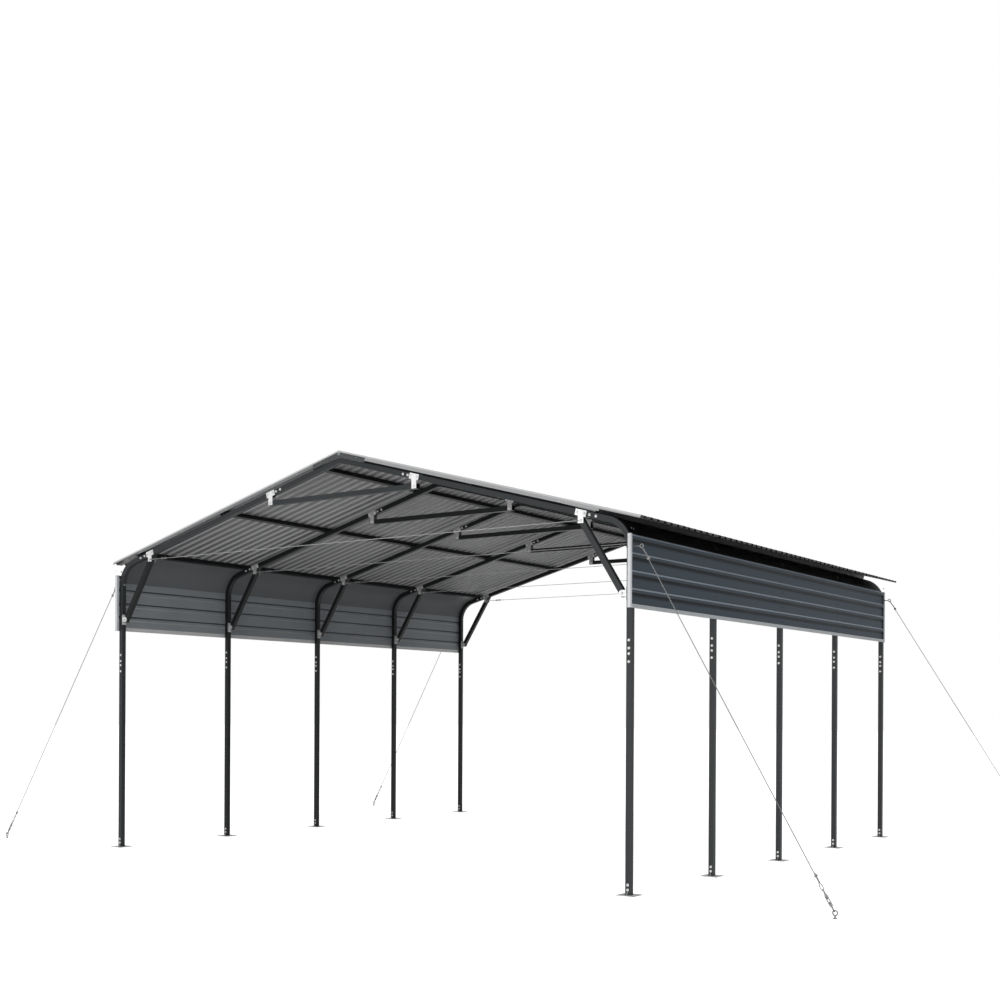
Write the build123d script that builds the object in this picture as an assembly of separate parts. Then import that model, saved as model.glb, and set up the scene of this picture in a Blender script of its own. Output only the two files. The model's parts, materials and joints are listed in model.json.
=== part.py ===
from build123d import *

import os
from math import cos, pi, radians, sin, tan

# Open carport with five portal frames. X runs across the width, Y runs along the depth from the
# front, Z is up. The origin is on the ground, in the middle of the plan. Millimetres.

# Frames
frame_count = 5
bay = 1445.0
post_span = 5850.0
tube = 45.0
tube_wall = 1.5
rafter_apex = 3608.0
roof_pitch = 15.0
eave_radius = 250.0
ridge_radius = 150.0
post_joint_drop = 358.0
front_joint_drop = 81.0
eave_joint_inset = 380.0
ridge_joint = 800.0
sleeve_wall = 2.0
post_sleeve_length = 300.0
rafter_sleeve_length = 200.0

# Clearances
fit_gap = 0.3
seat_gap = 0.3
link_gap = 0.6

# Feet
plate_size = 150.0
plate_thickness = 5.0
plate_hole = 12.0
plate_hole_spacing = 110.0
plain_hole_sides = 8
socket_height = 95.0
foot_gusset = 26.0
foot_gusset_thickness = 4.0

# Knee braces and collar ties
knee_head_inset = 432.0
knee_head_drop = 60.0
knee_foot_reach = 40.5
knee_height = 583.0
knee_end = 20.0
bracket_thickness = 3.0
bracket_head_length = 102.0
bracket_head_width = 50.0
bracket_stem_width = 50.0
bracket_stem_end = 20.0
foot_bracket_height = 100.0
foot_ear_radius = 25.0
tie_drop = 308.0
tie_half_length = 870.0
tie_bracket_x = 841.0

# Roof
purlin = 40.0
purlin_wall = 1.5
ridge_purlin_place = 285.0
eave_purlin_offset = 100.0
roof_front_reach = 12.5
sheet_count = 9
ribs_per_sheet = 6
rib_pitch = 110.0
rib_height = 18.0
rib_base = 50.0
rib_top = 22.0
first_rib = 27.0
sheet_thickness = 0.5
sheet_top_place = 15.0
eave_overhang = 108.0
lap_foot = 2.0
right_eave_slips = (14.0, 0.0, 12.0, 4.0, 16.0, 6.0, 0.0, 10.0, 4.0)
left_eave_slips = (6.0, 0.0, 8.0, 2.0, 10.0, 4.0, 0.0, 6.0, 2.0)
cap_leg = 190.0
trim_thickness = 0.8
gable_trim_height = 41.0
gable_trim_flange = 40.0
gable_trim_margin = 8.0
gable_edge_height = 24.0
gable_notch_offset = 10.0
eave_sheet_thickness = 0.5
eave_sheet_angle = 8.0
ridge_plate_reach = 300.0
ridge_plate_margin = 2.5

# Side panels
panel_drop = 80.0
panel_height = 560.0
panel_front_reach = 43.5
panel_thickness = 0.5
panel_rib_count = 4
panel_rib_pitch = 135.5
panel_first_rib = 126.0
panel_rib_base = 50.0
panel_rib_top = 22.0
panel_rib_depth = 11.0
end_trim_width = 26.0
end_trim_leg = 25.0
back_trim_leg = 40.0
bottom_trim_height = 30.0

# Stays
wire_radius = 2.5
thimble_radius = 11.0
eye_drop = 94.0
eye_reach = 93.0
eye_ring_radius = 14.0
eye_wire_radius = 4.0
eye_ring_thickness = 6.0
eye_hole = 9.0
anchor_out = 1675.0
anchor_spread = 157.0
anchor_ring_height = 40.0
anchor_ring_radius = 17.0
anchor_wire_radius = 5.0
anchor_ring_thickness = 6.0
anchor_collar_radius = 20.0
anchor_collar_height = 8.0
buckle_body = 95.0
buckle_width = 20.0
buckle_thickness = 10.0
buckle_slot = 9.0
buckle_rod_radius = 4.0
buckle_eye_radius = 11.0
buckle_eye_wire = 3.0
buckle_neck = 26.0
tie_wire_radius = 2.0
tie_loop_radius = 9.0
tie_loop_hole = 5.5
tie_buckle_place = 135.0
tie_buckle_body = 76.0
tie_buckle_width = 15.0
tie_buckle_thickness = 7.0
tie_buckle_slot = 6.5
tie_stud_length = 38.0
tie_stud_radius = 3.0
link_corner = 0.3
bar_sides = 6
ring_sides = 8

# Places worked out from the sizes above
half_span = post_span / 2
half_tube = tube / 2
pitch = radians(roof_pitch)
frame_places = [(n - (frame_count - 1) / 2) * bay for n in range(frame_count)]
frame_back = frame_places[-1] + half_tube
frame_front = frame_places[0] - half_tube
eave_joint = half_span - eave_joint_inset
eave_corner = rafter_apex - half_span * tan(pitch)
bend_height = eave_corner - eave_radius * tan((pi / 2 - pitch) / 2)
knee_head_x = half_span - knee_head_inset
knee_head_z = rafter_apex - knee_head_x * tan(pitch) - knee_head_drop
knee_foot_x = half_span - half_tube - knee_foot_reach
knee_foot_z = knee_head_z - knee_height
post_joint = knee_foot_z - post_joint_drop
front_post_joint = post_joint - front_joint_drop
tie_height = rafter_apex - tie_drop
eave_purlin_place = eave_joint / cos(pitch) + eave_purlin_offset
middle_purlin_place = (ridge_purlin_place + eave_purlin_place) / 2
roof_front = frame_front - roof_front_reach
sheet_base = half_tube + purlin
lap_top = sheet_base + rib_height + 2 * sheet_thickness
eave_edge = (half_span + eave_overhang - sheet_base * sin(pitch)) / cos(pitch)
sheet_length = eave_edge - sheet_top_place
gable_trim_length = eave_edge - gable_trim_margin
sheet_cover = ribs_per_sheet * rib_pitch
roof_back = roof_front + first_rib + sheet_count * sheet_cover + rib_base / 2
panel_top = eave_corner - panel_drop
panel_bottom = panel_top - panel_height
panel_front = frame_front - panel_front_reach
post_outer = half_span + half_tube
panel_face = post_outer + panel_thickness
rib_face = panel_face + panel_rib_depth
trim_bottom = panel_bottom - trim_thickness
trim_outer = rib_face + fit_gap + trim_thickness
eye_x = half_span + eye_reach
eye_height = panel_top - eye_drop
anchor_x = half_span + anchor_out
anchor_y = frame_places[-1] + anchor_spread
sides = (("left", -1), ("right", 1))


def slope_x(along, rise=0.0):
    """Distance from the middle of a point on a slope: along it from the ridge, and off the axis."""
    return along * cos(pitch) + rise * sin(pitch)


def slope_z(along, rise=0.0):
    return rafter_apex - along * sin(pitch) + rise * cos(pitch)


def axis_z(x):
    """Height of the rafter axis at a distance x from the middle."""
    return rafter_apex - x * tan(pitch)


def slope_plane(y=0.0, along=0.0, rise=0.0):
    """Plane on the right slope: its x runs down the slope, its z points out of the roof."""
    place = (slope_x(along, rise), y, slope_z(along, rise))
    return Plane(origin=place, x_dir=(cos(pitch), 0, -sin(pitch)), z_dir=(sin(pitch), 0, cos(pitch)))


def flip(piece, side):
    """A piece made for the right side, or its mirror image for the left."""
    if side > 0:
        return piece
    return mirror(piece, about=Plane.YZ)


def save(name, pieces):
    solids = [solid for piece in pieces for solid in piece.solids()]
    export_step(Compound(children=solids), os.path.join("parts", name + ".step"))


def hollow_square(size, wall):
    return Rectangle(size, size) - Rectangle(size - 2 * wall, size - 2 * wall)


def straight_tube(start, end, size=tube, wall=tube_wall):
    """Square tube from one point to another in a plane of constant y, or along Y."""
    run = Vector(*end) - Vector(*start)
    across = (1, 0, 0) if abs(run.Y) > abs(run.X) + abs(run.Z) else (0, 1, 0)
    plane = Plane(origin=start, x_dir=across, z_dir=run)
    return extrude(plane * hollow_square(size, wall), run.length)


def bent_tube(points, radius, size=tube, wall=tube_wall):
    """Square tube along straight runs joined by one tangent bend."""
    path = FilletPolyline(*points, radius=radius)
    plane = Plane(origin=path @ 0, x_dir=(0, 1, 0), z_dir=path % 0)
    outer = sweep(plane * Rectangle(size, size), path=path)
    inner = sweep(plane * Rectangle(size - 2 * wall, size - 2 * wall), path=path)
    return outer - inner


def flat_sided(radius, sides):
    """Regular outline with flats at the radius, one of them across its x."""
    return RegularPolygon(radius, sides, major_radius=False, rotation=180 / sides)


def rod(start, end, radius, sides=bar_sides):
    run = Vector(*end) - Vector(*start)
    return extrude(Plane(origin=start, z_dir=run) * RegularPolygon(radius, sides), run.length)


def ring(centre, normal, along, radius, wire, thickness):
    """Flat ring with its plane across the normal and a flat side along the pull."""
    plane = Plane(origin=centre, x_dir=along, z_dir=normal)
    outline = flat_sided(radius + wire, ring_sides) - flat_sided(radius - wire, ring_sides)
    return extrude(plane * outline, thickness / 2, both=True)


def eye_drill(y):
    """Drill for an eye bolt, through post, panel and trim."""
    start = Plane(origin=(half_span - 2 * tube, y, eye_height), z_dir=(1, 0, 0))
    return extrude(start * flat_sided(eye_hole / 2 + fit_gap, ring_sides), 4 * tube)


def joint_height(frame):
    return front_post_joint if frame == 0 else post_joint


def base_plate(round_holes):
    """Square plate with a socket that goes up inside the post, and a gusset front and back.

    The corner plates have drilled holes, and those between them have eight-sided punched ones.
    """
    hole = Circle(plate_hole / 2) if round_holes else flat_sided(plate_hole / 2, plain_hole_sides)
    holes = GridLocations(plate_hole_spacing, plate_hole_spacing, 2, 2) * hole
    plate = extrude(Rectangle(plate_size, plate_size) - holes, plate_thickness)
    socket_size = tube - 2 * tube_wall - 2 * fit_gap
    socket = extrude(
        Plane.XY.offset(plate_thickness) * hollow_square(socket_size, sleeve_wall), socket_height)
    near = half_tube + fit_gap
    far = near + foot_gusset
    outline = Polygon((near, plate_thickness), (far, plate_thickness),
                      (near, plate_thickness + foot_gusset), align=None)
    gusset = extrude(Plane.YZ * outline, foot_gusset_thickness / 2, both=True)
    return plate + socket + gusset + mirror(gusset, about=Plane.XZ)


def post(frame):
    return straight_tube((half_span, 0, plate_thickness), (half_span, 0, joint_height(frame)))


def eave_bend(frame):
    """Upper post, bend and foot of the rafter in one tube, drilled for an eye bolt at the ends."""
    points = [(half_span, 0, joint_height(frame)), (half_span, 0, eave_corner),
              (eave_joint, 0, axis_z(eave_joint))]
    piece = bent_tube(points, eave_radius)
    if frame in (0, frame_count - 1):
        piece -= eye_drill(0)
    return piece


def inner_sleeve(middle, direction, length):
    size = tube - 2 * tube_wall - 2 * fit_gap
    half = Vector(*direction).normalized() * (length / 2)
    centre = Vector(*middle)
    return straight_tube(tuple(centre - half), tuple(centre + half), size, sleeve_wall)


def ridge_bend():
    points = [(-ridge_joint, 0, axis_z(ridge_joint)), (0, 0, rafter_apex),
              (ridge_joint, 0, axis_z(ridge_joint))]
    return bent_tube(points, ridge_radius)


def knee_brace():
    """Slanting tube, cut to the slope where it meets the underside of the rafter."""
    head = Vector(knee_head_x, 0, knee_head_z)
    foot = Vector(knee_foot_x, 0, knee_foot_z)
    run = (head - foot).normalized()
    piece = straight_tube(tuple(foot - run * knee_end), tuple(head + run * (2 * tube)))
    under = slope_plane(rise=-half_tube - seat_gap)
    block = extrude(under * Rectangle(2 * post_span, 2 * tube), 4 * tube)
    return piece - block


def tee_plate(x, bolt_height):
    """Flat tee: its head lies along the rafter and its stem hangs straight down past the bolt."""
    top = axis_z(x)
    head = Pos(x, top) * Rot(0, 0, -roof_pitch) * Rectangle(bracket_head_length, bracket_head_width)
    bottom = bolt_height - bracket_stem_end
    stem = Pos(x, (top + bottom) / 2) * Rectangle(bracket_stem_width, top - bottom)
    return extrude(Plane.XZ.offset(half_tube) * (head + stem), bracket_thickness)


def tee_pair(x, bolt_height):
    plate = tee_plate(x, bolt_height)
    return [plate, mirror(plate, about=Plane.XZ)]


def knee_foot():
    """Plate on the inner face of the post with two rounded ears for the brace."""
    face = half_span - half_tube
    ear_gap = tube + 2 * fit_gap
    width = ear_gap + 2 * bracket_thickness
    centre = face - bracket_thickness / 2
    plate = Pos(centre, 0, knee_foot_z) * Box(bracket_thickness, width, foot_bracket_height)
    reach = face - bracket_thickness - knee_foot_x
    outline = flat_sided(foot_ear_radius, ring_sides)
    outline += Pos(reach / 2, 0) * Rectangle(reach, 2 * foot_ear_radius)
    ear_plane = Plane.XZ.offset(ear_gap / 2) * Pos(knee_foot_x, knee_foot_z)
    ear = extrude(ear_plane * outline, bracket_thickness)
    return plate + ear + mirror(ear, about=Plane.XZ)


def purlin_tube(along):
    rise = half_tube + purlin / 2
    length = roof_back - rib_base / 2 - roof_front
    plane = slope_plane(roof_front, along, rise)
    section = Plane(origin=plane.origin, x_dir=plane.x_dir, z_dir=(0, 1, 0))
    return extrude(section * hollow_square(purlin, purlin_wall), length)


def rib_line(place, lift):
    """Four corners of one roof rib, as (y, height) from left to right."""
    foot = rib_base / 2
    crown = rib_top / 2
    top = rib_height + lift
    return [(place - foot, lift), (place - crown, top), (place + crown, top), (place + foot, lift)]


def sheet_line(over):
    """Lower line of a roof sheet. An over sheet's outer ribs lie on its neighbours' ribs."""
    points = []
    for n in range(ribs_per_sheet + 1):
        outer = n in (0, ribs_per_sheet)
        lift = sheet_thickness if over and outer else 0.0
        corners = rib_line(n * rib_pitch, lift)
        if lift and n == 0:
            corners.append((n * rib_pitch + rib_base / 2 + lap_foot, 0.0))
        if lift and n == ribs_per_sheet:
            corners.insert(0, (n * rib_pitch - rib_base / 2 - lap_foot, 0.0))
        points += corners
    return points


def strip_face(line, thickness):
    """Closed outline of a thin sheet from its lower line."""
    upper = [(place, height + thickness) for place, height in reversed(line)]
    return make_face(Polyline(*line, *upper, close=True))


def roof_sheet(number, slip):
    over = number % 2 == 1
    y = roof_front + first_rib + number * sheet_cover
    start = slope_plane(y, sheet_top_place, sheet_base)
    section = Plane(origin=start.origin, x_dir=(0, 1, 0), z_dir=start.x_dir)
    outline = strip_face(sheet_line(over), sheet_thickness)
    return extrude(section * outline, sheet_length + slip)


def ridge_cap():
    """Bent strip over the ridge, lying on the tops of the ribs."""
    line = [(-slope_x(cap_leg, lap_top), slope_z(cap_leg, lap_top)),
            (0, rafter_apex + lap_top / cos(pitch)),
            (slope_x(cap_leg, lap_top), slope_z(cap_leg, lap_top))]
    upper = [(x, z + sheet_thickness / cos(pitch)) for x, z in reversed(line)]
    outline = make_face(Polyline(*line, *upper, close=True))
    front = roof_front + gable_trim_flange
    return extrude(Plane.XZ.offset(-front) * outline, -(roof_back - front))


def ridge_plate(front):
    """Plate that closes the ridge at an end, in front of the ridge purlins."""
    low = half_tube + ridge_plate_margin
    high = sheet_base - ridge_plate_margin
    reach = ridge_plate_reach
    right = [(slope_x(reach, high), slope_z(reach, high)), (slope_x(reach, low), slope_z(reach, low))]
    left = [(-x, z) for x, z in reversed(right)]
    top = (0, rafter_apex + high / cos(pitch))
    bottom = (0, rafter_apex + low / cos(pitch))
    outline = make_face(Polyline(top, *right, bottom, *left, close=True))
    return extrude(Plane.XZ.offset(-front) * outline, trim_thickness)


def gable_trim():
    """Folded strip along the front edge: a face in front and a flange on the first rib.

    Past the eave purlin its face is cut back to a narrow edge.
    """
    face_y = roof_front - trim_thickness - seat_gap
    top = lap_top - sheet_thickness
    start = slope_plane(0, -2 * gable_trim_height, 0)
    section = Plane(origin=start.origin, x_dir=(0, 1, 0), z_dir=start.x_dir)
    outer = face_y - trim_thickness
    bottom = top + trim_thickness - gable_trim_height
    flange_end = outer + gable_trim_flange
    line = [(outer, bottom), (face_y, bottom), (face_y, top), (flange_end, top),
            (flange_end, top + trim_thickness), (outer, top + trim_thickness)]
    outline = make_face(Polyline(*[(y, -rise) for y, rise in line], close=True))
    if section.y_dir.Z > 0:
        outline = make_face(Polyline(*line, close=True))
    piece = extrude(section * outline, gable_trim_length + 2 * gable_trim_height)
    half = Pos(-half_span + seat_gap / 2, 0, rafter_apex) * Box(post_span, 3 * post_span, post_span)
    notch_length = gable_trim_length - eave_purlin_place - gable_notch_offset
    notch_height = gable_trim_height - gable_edge_height
    notch = Box(2 * notch_length, tube, 2 * notch_height)
    return piece - half - slope_plane(outer, gable_trim_length, bottom) * notch


def eave_sheet():
    """Plain sheet bent over the eave bends, from behind the side panel to the eave purlin."""
    near = half_tube + seat_gap
    far = near + eave_sheet_thickness
    stop = eave_purlin_place + purlin / 2 + seat_gap
    centre = Vector(half_span - eave_radius, 0, bend_height)

    def edge(offset):
        reach = eave_radius + offset
        first = radians(eave_sheet_angle)
        last = pi / 2 - pitch
        low, middle, high = [
            centre + Vector(cos(turn), 0, sin(turn)) * reach for turn in (first, (first + last) / 2, last)]
        return low, middle, high, Vector(slope_x(stop, offset), 0, slope_z(stop, offset))

    low, middle, high, end = edge(near)
    outer_low, outer_middle, outer_high, outer_end = edge(far)
    outline = [ThreePointArc(low, middle, high), Line(high, end), Line(end, outer_end),
               Line(outer_end, outer_high), ThreePointArc(outer_high, outer_middle, outer_low),
               Line(outer_low, low)]
    section = make_face(outline)
    return extrude(Pos(0, frame_front, 0) * section, frame_back - frame_front, dir=(0, 1, 0))


def panel_line():
    """Inner line of a side panel from the bottom up, as (distance out, height)."""
    points = [(0.0, panel_bottom)]
    for n in range(panel_rib_count):
        z = panel_bottom + panel_first_rib + n * panel_rib_pitch
        points += [(0.0, z - panel_rib_base / 2), (panel_rib_depth, z - panel_rib_top / 2),
                   (panel_rib_depth, z + panel_rib_top / 2), (0.0, z + panel_rib_base / 2)]
    points.append((0.0, panel_top))
    return points


def side_panel():
    inner = [(post_outer + out, z) for out, z in panel_line()]
    outer = [(x + panel_thickness, z) for x, z in reversed(inner)]
    outline = make_face(Polyline(*inner, *outer, close=True))
    piece = extrude(Plane.XZ.offset(-panel_front) * outline, -(frame_back - panel_front))
    return piece - eye_drill(frame_places[0]) - eye_drill(frame_places[-1])


def front_trim():
    """Channel over the front end of a side panel."""
    front = panel_front - fit_gap - trim_thickness
    inner = trim_outer - end_trim_width
    leg = front + end_trim_leg
    line = [(inner, front), (trim_outer, front), (trim_outer, leg), (trim_outer - trim_thickness, leg),
            (trim_outer - trim_thickness, front + trim_thickness),
            (inner + trim_thickness, front + trim_thickness), (inner + trim_thickness, leg),
            (inner, leg)]
    outline = make_face(Polyline(*line, close=True))
    return extrude(Plane.XY.offset(trim_bottom) * outline, panel_top - trim_bottom)


def back_trim():
    """Angle over the back end of a side panel and the back of the post, drilled for the eye bolt."""
    back = frame_back + seat_gap + trim_thickness
    inner = trim_outer - end_trim_width
    leg = back - back_trim_leg
    line = [(inner, back), (trim_outer, back), (trim_outer, leg), (trim_outer - trim_thickness, leg),
            (trim_outer - trim_thickness, back - trim_thickness), (inner, back - trim_thickness)]
    outline = make_face(Polyline(*line, close=True))
    piece = extrude(Plane.XY.offset(trim_bottom) * outline, panel_top - trim_bottom)
    return piece - eye_drill(frame_places[-1])


def bottom_trim():
    """Channel under a side panel, between the trims at its ends."""
    start = panel_front - fit_gap - trim_thickness + end_trim_leg + seat_gap
    end = frame_back + seat_gap + trim_thickness - back_trim_leg - seat_gap
    line = [(post_outer + fit_gap, trim_bottom), (trim_outer, trim_bottom),
            (trim_outer, trim_bottom + bottom_trim_height),
            (trim_outer - trim_thickness, trim_bottom + bottom_trim_height),
            (trim_outer - trim_thickness, panel_bottom), (post_outer + fit_gap, panel_bottom)]
    outline = make_face(Polyline(*line, close=True))
    return extrude(Plane.XZ.offset(-start) * outline, -(end - start))


def linked(radius, wire, next_radius, next_wire):
    """Distance between the centres of two rings that pull on each other."""
    return radius + next_radius - wire - next_wire - link_gap


def stay_ends(y):
    """Centres of the eye and of the anchor ring on the right side, for the frame at y."""
    side = 1 if y > 0 else -1
    return Vector(eye_x, y, eye_height), Vector(anchor_x, side * anchor_y, anchor_ring_height)


def stay_run(y):
    top, foot = stay_ends(y)
    return (foot - top).normalized()


def in_plane(run):
    """Direction of a run as seen along Y."""
    return (run.X, 0, run.Z)


def eye_bolt(y):
    """Bolt through post and panel, with a ring outside for the stay."""
    inside = (half_span - half_tube - 2 * eye_hole, y, eye_height)
    shank = rod(inside, (eye_x - eye_ring_radius, y, eye_height), eye_hole / 2)
    centre, _ = stay_ends(y)
    along = in_plane(stay_run(y))
    eye = ring(tuple(centre), (0, 1, 0), along, eye_ring_radius, eye_wire_radius, eye_ring_thickness)
    return shank + eye


def ground_anchor(y):
    """Ring on a short stem and collar, standing on the ground."""
    _, centre = stay_ends(y)
    foot = (anchor_x, centre.Y, 0)
    collar = rod(foot, (anchor_x, centre.Y, anchor_collar_height), anchor_collar_radius, ring_sides)
    stem_top = anchor_ring_height - anchor_ring_radius
    stem = rod(foot, (anchor_x, centre.Y, stem_top), anchor_wire_radius)
    along = in_plane(stay_run(y))
    eye = ring(
        tuple(centre), (0, 1, 0), along, anchor_ring_radius, anchor_wire_radius, anchor_ring_thickness)
    return collar + stem + eye


def stay(y):
    """Wire with a loop at each end, and the turnbuckle between it and the anchor."""
    top, foot = stay_ends(y)
    run = stay_run(y)
    cross = run.cross(Vector(0, 1, 0)).normalized()
    upright = cross.cross(run).normalized()
    upper = top + run * linked(eye_ring_radius, eye_wire_radius, thimble_radius, wire_radius)
    hold = linked(anchor_ring_radius, anchor_wire_radius, buckle_eye_radius, buckle_eye_wire)
    low_eye = foot - run * hold
    high_eye = low_eye - run * (buckle_body + 2 * buckle_neck)
    lower = high_eye - run * linked(buckle_eye_radius, buckle_eye_wire, thimble_radius, wire_radius)
    wire = rod(tuple(upper + run * thimble_radius), tuple(lower - run * thimble_radius), wire_radius)
    for loop in (upper, lower):
        wire += ring(tuple(loop), cross, run, thimble_radius, wire_radius, 2 * wire_radius)
    middle = (low_eye + high_eye) * 0.5
    body = buckle_frame(middle, run, upright, buckle_body, buckle_width, buckle_thickness, buckle_slot)
    for eye, inward, normal in ((high_eye, run, upright), (low_eye, run * -1, cross)):
        reach = buckle_neck + buckle_body / 3
        body += rod(tuple(eye + inward * buckle_eye_radius), tuple(eye + inward * reach), buckle_rod_radius)
        body += ring(tuple(eye), normal, run, buckle_eye_radius, buckle_eye_wire, 2 * buckle_eye_wire)
    return wire, body


def long_link(length, width):
    """Long outline with its corners cut off."""
    corner = link_corner * width
    x = length / 2
    y = width / 2
    upper = [(x, y - corner), (x - corner, y), (corner - x, y), (-x, y - corner)]
    return Polygon(*upper, *[(-place, -height) for place, height in upper], align=None)


def buckle_frame(middle, run, normal, length, width, thickness, slot):
    """Open body of a turnbuckle, a long link."""
    outline = long_link(length, width) - long_link(length - width, slot)
    plane = Plane(origin=tuple(middle), x_dir=tuple(run), z_dir=tuple(normal))
    return extrude(plane * outline, thickness / 2, both=True)


def cross_tie(y):
    """Wire across a frame with flat loops on the knee bolts and a turnbuckle near the left end."""
    y_wire = y - half_tube - bracket_thickness - seat_gap - tie_wire_radius
    z = knee_head_z
    left = -knee_head_x
    first_stud = left + tie_buckle_place
    buckle_start = first_stud + tie_stud_length
    buckle_end = buckle_start + tie_buckle_body
    last_stud = buckle_end + tie_stud_length
    middle = Vector((buckle_start + buckle_end) / 2, y_wire, z)
    body = buckle_frame(middle, Vector(1, 0, 0), Vector(0, 1, 0), tie_buckle_body, tie_buckle_width,
                        tie_buckle_thickness, tie_buckle_slot)
    inner = tie_buckle_body / 3
    body += rod((first_stud, y_wire, z), (buckle_start + inner, y_wire, z), tie_stud_radius)
    body += rod((buckle_end - inner, y_wire, z), (last_stud, y_wire, z), tie_stud_radius)
    wires = []
    for bolt_x, near, far in ((left, left + tie_loop_radius, first_stud),
                              (knee_head_x, knee_head_x - tie_loop_radius, last_stud)):
        flat = flat_sided(tie_loop_radius + tie_wire_radius, ring_sides)
        flat -= flat_sided(tie_loop_hole, ring_sides)
        loop_plane = Plane.XZ.offset(-y_wire) * Pos(bolt_x, z)
        loop = extrude(loop_plane * flat, tie_wire_radius, both=True)
        wires.append(loop + rod((near, y_wire, z), (far, y_wire, z), tie_wire_radius))
    return wires, body


def save_frames():
    slope = (cos(pitch), 0, -sin(pitch))
    up = (0, 0, 1)
    sleeves = []
    rafter_sleeves = []
    for name, side in sides:
        at = [Pos(0, y, 0) for y in frame_places]
        corners = (0, frame_count - 1)
        plates = [at[n] * Pos(half_span, 0, 0) * base_plate(n in corners) for n in range(frame_count)]
        save(name + "_base_plates", [flip(plate, side) for plate in plates])
        save(name + "_posts", [flip(at[n] * post(n), side) for n in range(frame_count)])
        save(name + "_eave_bends", [flip(at[n] * eave_bend(n), side) for n in range(frame_count)])
        rafter = straight_tube((ridge_joint, 0, axis_z(ridge_joint)), (eave_joint, 0, axis_z(eave_joint)))
        save(name + "_rafters", [flip(place * rafter, side) for place in at])
        save(name + "_knee_braces", [flip(place * knee_brace(), side) for place in at])
        knee_tees = tee_pair(knee_head_x, knee_head_z)
        save(name + "_knee_brackets", [flip(place * tee, side) for place in at for tee in knee_tees])
        save(name + "_knee_feet", [flip(place * knee_foot(), side) for place in at])
        for n in range(frame_count):
            middle = (half_span, 0, joint_height(n))
            sleeves.append(flip(at[n] * inner_sleeve(middle, up, post_sleeve_length), side))
            for x in (eave_joint, ridge_joint):
                sleeve = inner_sleeve((x, 0, axis_z(x)), slope, rafter_sleeve_length)
                rafter_sleeves.append(flip(at[n] * sleeve, side))
    save("post_sleeves", sleeves)
    save("rafter_sleeves", rafter_sleeves)
    save("ridge_bends", [place * ridge_bend() for place in at])
    tie = straight_tube((-tie_half_length, 0, tie_height), (tie_half_length, 0, tie_height))
    save("collar_ties", [place * tie for place in at])
    tie_tees = tee_pair(tie_bracket_x, tie_height)
    both = [flip(tee, side) for tee in tie_tees for _, side in sides]
    save("tie_brackets", [place * tee for place in at for tee in both])


def save_roof():
    places = (("ridge", ridge_purlin_place), ("middle", middle_purlin_place), ("eave", eave_purlin_place))
    slips = {"left": left_eave_slips, "right": right_eave_slips}
    for name, side in sides:
        for kind, along in places:
            save(name + "_" + kind + "_purlin", [flip(purlin_tube(along), side)])
        sheets = [flip(roof_sheet(n, slips[name][n]), side) for n in range(sheet_count)]
        save(name + "_roof_under_sheets", sheets[0::2])
        save(name + "_roof_over_sheets", sheets[1::2])
        save(name + "_gable_trim", [flip(gable_trim(), side)])
    save("ridge_cap", [ridge_cap()])
    back = roof_back - rib_base / 2 + trim_thickness
    save("ridge_end_plates", [ridge_plate(roof_front), ridge_plate(back)])


def save_walls():
    for name, side in sides:
        save(name + "_eave_sheet", [flip(eave_sheet(), side)])
        save(name + "_side_panel", [flip(side_panel(), side)])
        trims = (front_trim(), back_trim(), bottom_trim())
        save(name + "_panel_trim", [flip(piece, side) for piece in trims])


def save_stays():
    bolts = [eye_bolt(y) for y in (frame_places[0], frame_places[-1])]
    anchors = [ground_anchor(y) for y in (frame_places[0], frame_places[-1])]
    stays = [stay(y) for y in (frame_places[0], frame_places[-1])]
    save("eye_bolts", [flip(piece, side) for piece in bolts for _, side in sides])
    save("ground_anchors", [flip(piece, side) for piece in anchors for _, side in sides])
    save("guy_wires", [flip(wire, side) for wire, _ in stays for _, side in sides])
    save("guy_turnbuckles", [flip(body, side) for _, body in stays for _, side in sides])
    ties = [cross_tie(y) for y in frame_places]
    save("tie_cables", [wire for wires, _ in ties for wire in wires])
    save("tie_turnbuckles", [body for _, body in ties])


os.makedirs("parts", exist_ok=True)
save_frames()
save_roof()
save_walls()
save_stays()
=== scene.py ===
import json
import math

import bpy
from mathutils import Matrix, Vector


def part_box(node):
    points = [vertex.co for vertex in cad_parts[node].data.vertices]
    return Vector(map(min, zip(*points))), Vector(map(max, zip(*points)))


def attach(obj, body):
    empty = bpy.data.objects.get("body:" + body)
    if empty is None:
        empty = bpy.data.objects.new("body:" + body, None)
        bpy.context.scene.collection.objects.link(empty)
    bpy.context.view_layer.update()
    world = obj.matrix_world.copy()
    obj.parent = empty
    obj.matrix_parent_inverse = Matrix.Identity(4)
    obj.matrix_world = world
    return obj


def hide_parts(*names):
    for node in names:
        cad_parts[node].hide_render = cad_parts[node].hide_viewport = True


# Open carport, dressed round its CAD frame. X runs across, Y from the front back, Z up. Metres.
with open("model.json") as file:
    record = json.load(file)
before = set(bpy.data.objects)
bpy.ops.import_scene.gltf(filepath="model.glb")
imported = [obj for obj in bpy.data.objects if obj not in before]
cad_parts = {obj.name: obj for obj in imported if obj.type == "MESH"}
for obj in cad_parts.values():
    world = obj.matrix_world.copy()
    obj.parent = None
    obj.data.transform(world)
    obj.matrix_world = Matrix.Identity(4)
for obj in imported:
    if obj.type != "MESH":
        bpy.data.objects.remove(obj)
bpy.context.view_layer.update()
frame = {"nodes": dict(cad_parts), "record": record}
nodes = frame["nodes"]

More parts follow.
